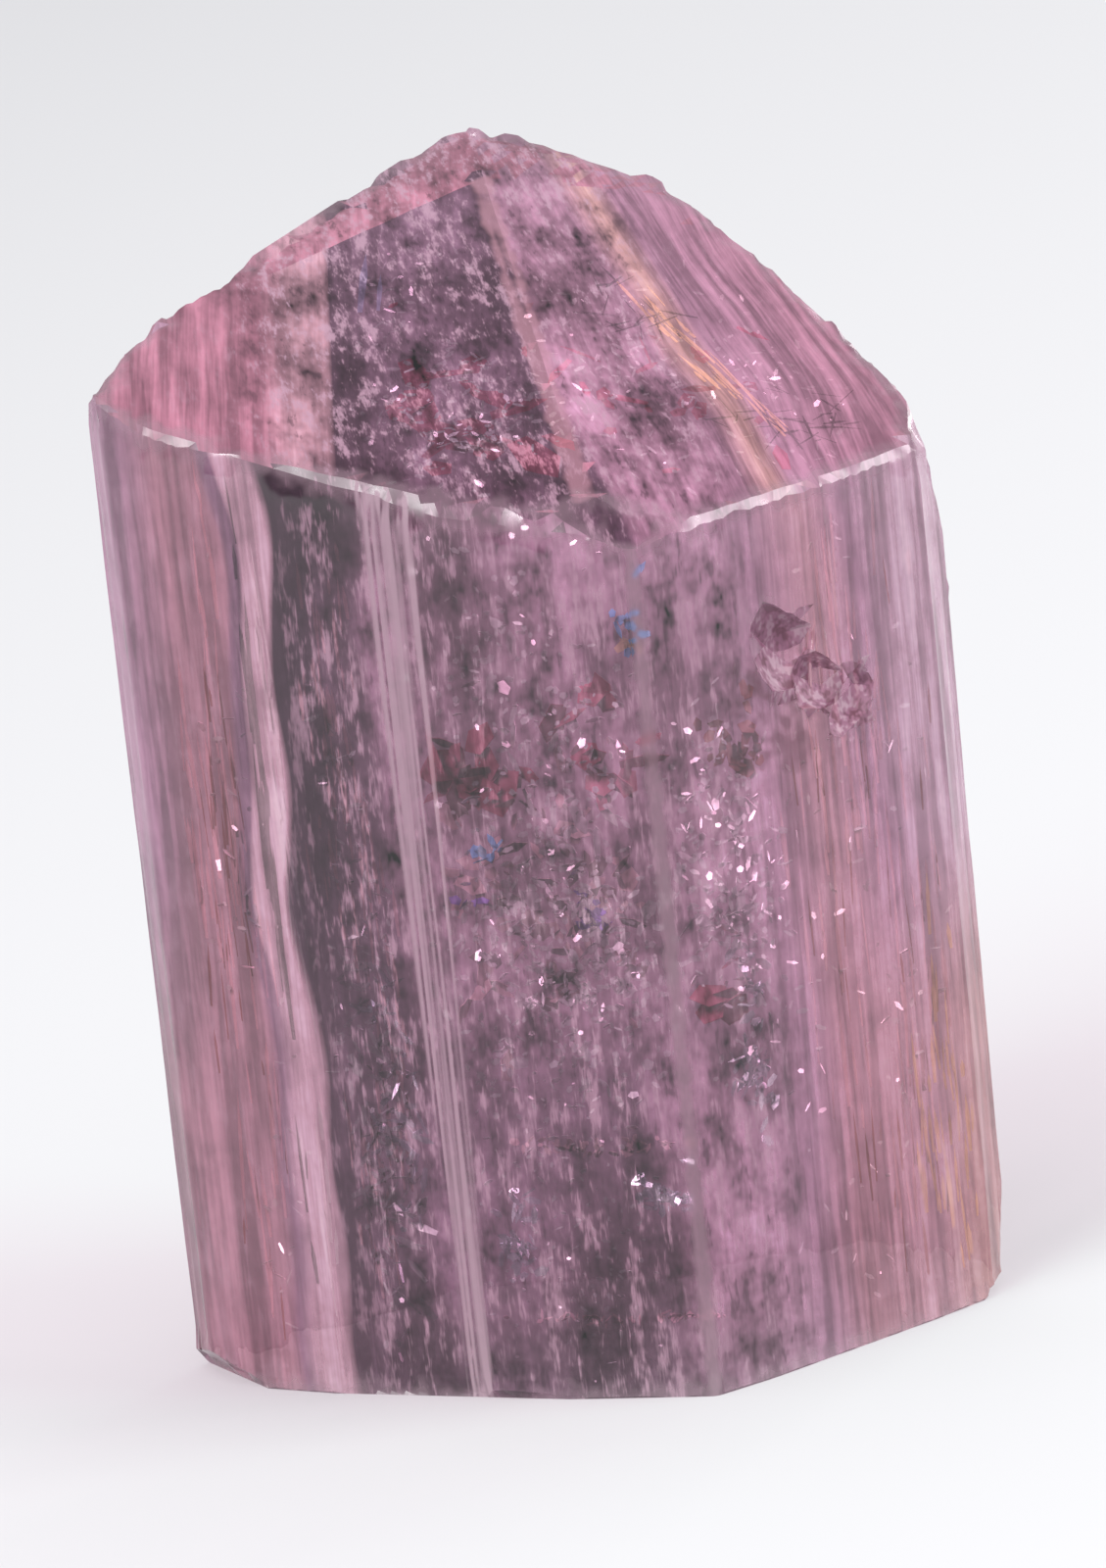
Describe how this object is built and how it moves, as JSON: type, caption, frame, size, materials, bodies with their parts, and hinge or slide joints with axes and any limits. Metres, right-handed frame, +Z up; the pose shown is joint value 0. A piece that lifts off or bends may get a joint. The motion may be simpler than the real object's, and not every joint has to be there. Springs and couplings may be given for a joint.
{
  "type": "pink topaz crystal",
  "caption": "Single see-through pink crystal: a striated lopsided prism standing on a flat cleavage, closed above by sloping pyramid faces with frosted, worn rims",
  "frame": {"origin": "centre of the crystal's box, on the flat cleavage that it stands on", "axes": "+X along the b axis to the blunt side corner, -Y along the a axis to the front edge, +Z up along the c axis and the prism"},
  "size_m": [0.0154, 0.0122, 0.022],
  "materials": {
    "topaz": "clear pink, striated faces, frosted edges"
  },
  "bodies": {
    "root": {"topaz_crystal": "topaz"}
  },
  "joints": []
}
